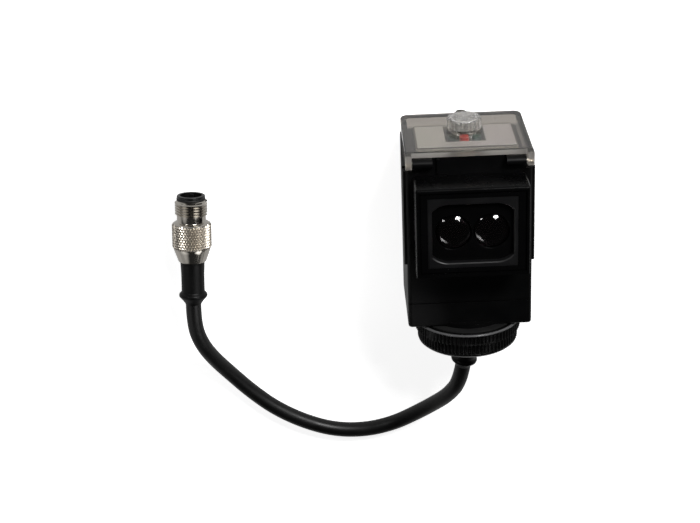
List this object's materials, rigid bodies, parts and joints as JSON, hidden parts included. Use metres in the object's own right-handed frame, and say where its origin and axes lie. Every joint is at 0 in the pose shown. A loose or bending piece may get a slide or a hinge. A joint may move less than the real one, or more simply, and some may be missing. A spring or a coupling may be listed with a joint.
{
  "type": "photoelectric proximity sensor",
  "caption": "Box-shaped two-lens photoelectric sensor with a clear hinged cover over its adjusters, a threaded round base and a short lead that ends in a screw plug.",
  "frame": {"origin": "on the back face that the sensor lies on, in the body's middle plane, half way between the lowest and highest points of the sensor without its lead", "axes": "+Z out of the lenses, +Y up the body from the threaded base to the clear cover, +X across the body to its right as the lenses are faced"},
  "size_m": [0.1305, 0.1353, 0.054],
  "materials": {
    "black_moulding": "satin, fine moulded",
    "black_frame": "semi-gloss",
    "ring_plastic": "satin with a glossy edge",
    "seal_rubber": "matt",
    "zinc_steel": "zinc plated",
    "lens_acrylic": "polished, infrared-passing",
    "circuit_board": "solder resist",
    "component_plastic": "matt",
    "emitter_epoxy": "clear, faintly blue",
    "receiver_epoxy": "daylight filter",
    "deck_plastic": "light grey",
    "label_film": "satin film",
    "mode_plastic": "dark green",
    "sensitivity_plastic": "red",
    "delay_plastic": "dark teal",
    "lamp_epoxy": "clear lamps",
    "brass": "turned, dull",
    "clear_polycarbonate": "polished, clear",
    "cable_jacket": "satin",
    "insert_plastic": "semi-gloss",
    "gold_pins": "gold plated",
    "nickel_plate": "nickel plated, turned and knurled"
  },
  "bodies": {
    "sensor_body": {"housing": "black_moulding", "base_cap": "black_moulding", "base_seal": "seal_rubber", "base_screws": "zinc_steel", "base_gasket": "seal_rubber", "lens_head": "black_moulding", "head_gasket": "seal_rubber", "window_frame": "black_frame", "lens_holder": "black_moulding", "emitter_lens": "lens_acrylic", "receiver_lens": "lens_acrylic", "optics_board": "circuit_board", "emitter_led": "emitter_epoxy", "receiver_diode": "receiver_epoxy", "main_board": "circuit_board", "board_parts": "component_plastic", "control_deck": "deck_plastic", "deck_gasket": "seal_rubber", "label_plate": "label_film", "control_board": "circuit_board", "trimmer_bodies": "component_plastic", "indicator_leds": "lamp_epoxy", "cover_insert": "brass", "hinge_pins": "zinc_steel", "strain_relief": "cable_jacket", "cable": "cable_jacket", "plug_boot": "cable_jacket", "plug_insert": "insert_plastic", "contact_pins": "gold_pins", "plug_o_ring": "seal_rubber"},
    "cover": {"clear_cover": "clear_polycarbonate", "indicator_dome": "clear_polycarbonate"},
    "clip": {"screw_clip": "zinc_steel"},
    "screw": {"cover_screw": "brass"},
    "ring": {"lock_ring": "ring_plastic"},
    "nut": {"mounting_nut": "ring_plastic"},
    "coupling": {"coupling_screw": "nickel_plate"},
    "mode_adjuster": {"mode_rotor": "mode_plastic"},
    "sensitivity_adjuster": {"sensitivity_rotor": "sensitivity_plastic"},
    "delay_adjuster": {"delay_rotor": "delay_plastic"}
  },
  "joints": [
    {"name": "cover_hinge", "type": "hinge", "parent": "sensor_body", "child": "cover", "pos_m": [0, 0.0396, 0.0397], "axis": [1, 0, 0], "range_deg": [0, 105]},
    {"name": "cover_screw_travel", "type": "slide", "parent": "cover", "child": "clip", "axis": [0, 1, 0], "range_m": [-0.001, 0]},
    {"name": "cover_screw_turn", "type": "hinge", "parent": "clip", "child": "screw", "pos_m": [0, 0.0443, 0.0042], "axis": [0, 1, 0], "range_deg": [-720, 0]},
    {"name": "lock_ring_travel", "type": "slide", "parent": "sensor_body", "child": "ring", "axis": [0, -1, 0], "range_m": [0, 0.006]},
    {"name": "mounting_nut_turn", "type": "hinge", "parent": "ring", "child": "nut", "pos_m": [0, -0.0313, 0.0255], "axis": [0, -1, 0], "range_deg": [0, 1440]},
    {"name": "coupling_screw_turn", "type": "hinge", "parent": "sensor_body", "child": "coupling", "pos_m": [-0.1, 0.00442, 0.00758], "axis": [0.0398, 0.9899, -0.1364], "continuous": true},
    {"name": "mode_turn", "type": "hinge", "parent": "sensor_body", "child": "mode_adjuster", "pos_m": [-0.0043, 0.0383, 0.0186], "axis": [0, 1, 0], "range_deg": [0, 90]},
    {"name": "sensitivity_turn", "type": "hinge", "parent": "sensor_body", "child": "sensitivity_adjuster", "pos_m": [0, 0.0383, 0.0186], "axis": [0, 1, 0], "range_deg": [-135, 135]},
    {"name": "delay_turn", "type": "hinge", "parent": "sensor_body", "child": "delay_adjuster", "pos_m": [0.0043, 0.0383, 0.0186], "axis": [0, 1, 0], "range_deg": [-135, 135]}
  ],
  "couplings": [
    {"joint": "cover_screw_turn", "follows": "cover_screw_travel", "rad_per_m": 12566},
    {"joint": "lock_ring_travel", "follows": "mounting_nut_turn", "m_per_rad": 0.00023873}
  ]
}
